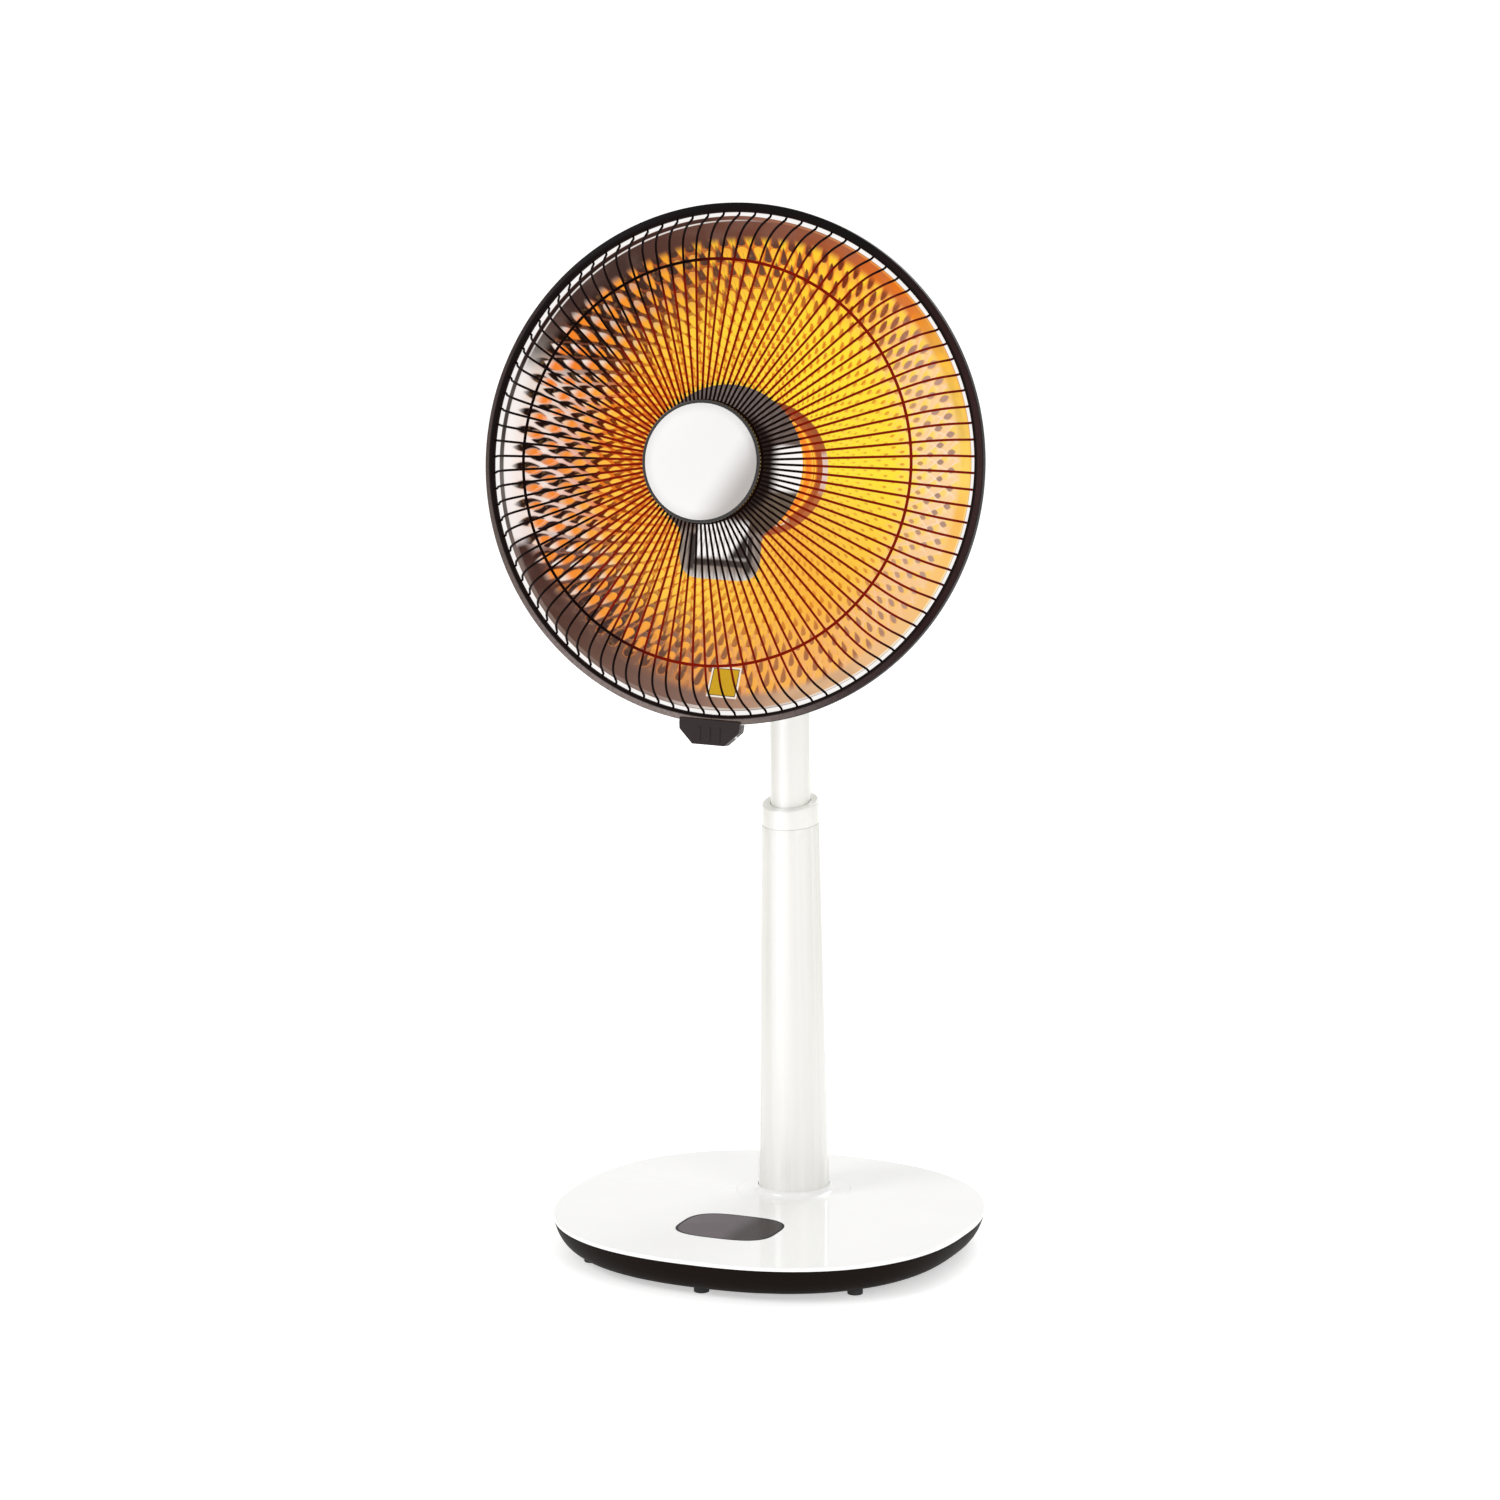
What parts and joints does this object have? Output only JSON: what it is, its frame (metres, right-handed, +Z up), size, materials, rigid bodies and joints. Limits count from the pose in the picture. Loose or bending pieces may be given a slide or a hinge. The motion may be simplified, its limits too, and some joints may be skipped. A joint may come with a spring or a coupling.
{
  "type": "parabolic heater",
  "caption": "Free-standing radiant heater: faceted dish reflector, ring lamp and domed wire guard on a swinging, tilting neck and telescopic column.",
  "frame": {"origin": "on the floor under the middle of the base", "axes": "+Z up, front towards -Y, +X to the right seen from the front; the head at rest is turned 6.2 degrees towards +X and tilted 6.7 degrees up"},
  "size_m": [0.3987, 0.3451, 0.8503],
  "materials": {
    "black_plastic": "satin",
    "black_gloss": "semi-gloss",
    "black_rubber": "matt",
    "black_wire": "semi-gloss enamel",
    "steel": "satin",
    "steel_sheet": "satin",
    "cast_steel": "rough",
    "motor_steel": "satin",
    "white_plastic": "satin",
    "white_gloss": "gloss",
    "white_column": "gloss",
    "white_tube": "gloss",
    "smoked_window": "gloss, dark",
    "board": "matt",
    "reflector_aluminium": "polished",
    "shield_mirror": "mirror polished",
    "badge_silver": "satin",
    "ceramic": "matt ceramic",
    "lamp_glass": "clear, glowing orange",
    "filament": "glowing"
  },
  "bodies": {
    "base": {"base_pan": "black_plastic", "rubber_feet": "black_rubber", "cover_screws": "steel", "ballast_plates": "cast_steel", "tip_switch_body": "black_plastic", "cord_grommet": "black_rubber", "base_top_cover": "white_gloss", "display_window": "smoked_window", "control_board": "board", "display_module": "black_plastic", "column": "white_column", "column_screws": "steel", "foot_cover": "white_gloss", "column_collar": "white_gloss", "guide_bush": "white_plastic"},
    "lock_button": {"height_lock_button": "white_gloss"},
    "tip_plunger": {"tip_switch_plunger": "white_plastic"},
    "tube": {"inner_tube": "white_tube", "tube_stop_ring": "black_plastic", "neck_housing": "white_gloss", "neck_cap": "white_gloss", "swing_motor": "motor_steel", "motor_screws": "steel"},
    "yoke": {"swivel_yoke": "white_gloss", "swing_shaft": "steel", "tilt_pin": "steel"},
    "head": {"head_bracket": "white_gloss", "bracket_screws": "steel", "rear_cover": "white_gloss", "hub_plate": "steel_sheet", "reflector": "reflector_aluminium", "reflector_screws": "steel", "terminal_block": "ceramic", "lamp_tubes": "lamp_glass", "lamp_filaments": "filament", "lamp_end_caps": "ceramic", "shield_plate": "shield_mirror", "shield_posts": "steel", "rim_hoop": "black_gloss", "latch_hinge_pin": "steel", "guard_wires": "black_wire", "guard_outer_ring": "black_wire", "guard_mid_ring": "black_wire", "guard_centre_plate": "black_wire", "badge_carrier": "black_gloss", "centre_badge": "badge_silver"},
    "latch": {"guard_latch": "black_plastic", "latch_screw": "steel"}
  },
  "joints": [
    {"name": "height_slide", "type": "slide", "parent": "base", "child": "tube", "axis": [0, 0, 1], "range_m": [-0.08, 0.1]},
    {"name": "head_swing", "type": "hinge", "parent": "tube", "child": "yoke", "pos_m": [0, 0.0528, 0.6], "axis": [0, 0, 1], "range_deg": [-41.2, 28.8]},
    {"name": "head_tilt", "type": "hinge", "parent": "yoke", "child": "head", "pos_m": [0, 0.0528, 0.63], "axis": [0.9942, 0.108, 0], "range_deg": [-20, 15]},
    {"name": "guard_latch", "type": "hinge", "parent": "head", "child": "latch", "pos_m": [0.00878, -0.11767, 0.44627], "axis": [0.9936, 0.1024, -0.0468], "range_deg": [0, 70]},
    {"name": "height_lock_button", "type": "slide", "parent": "base", "child": "lock_button", "axis": [0, -1, 0], "range_m": [0, 0.0022], "stiffness_N_per_m": 600},
    {"name": "tip_switch_plunger", "type": "slide", "parent": "base", "child": "tip_plunger", "axis": [0, 0, -1], "range_m": [0, 0.0035], "stiffness_N_per_m": 60, "springref_m": 0.0035}
  ]
}
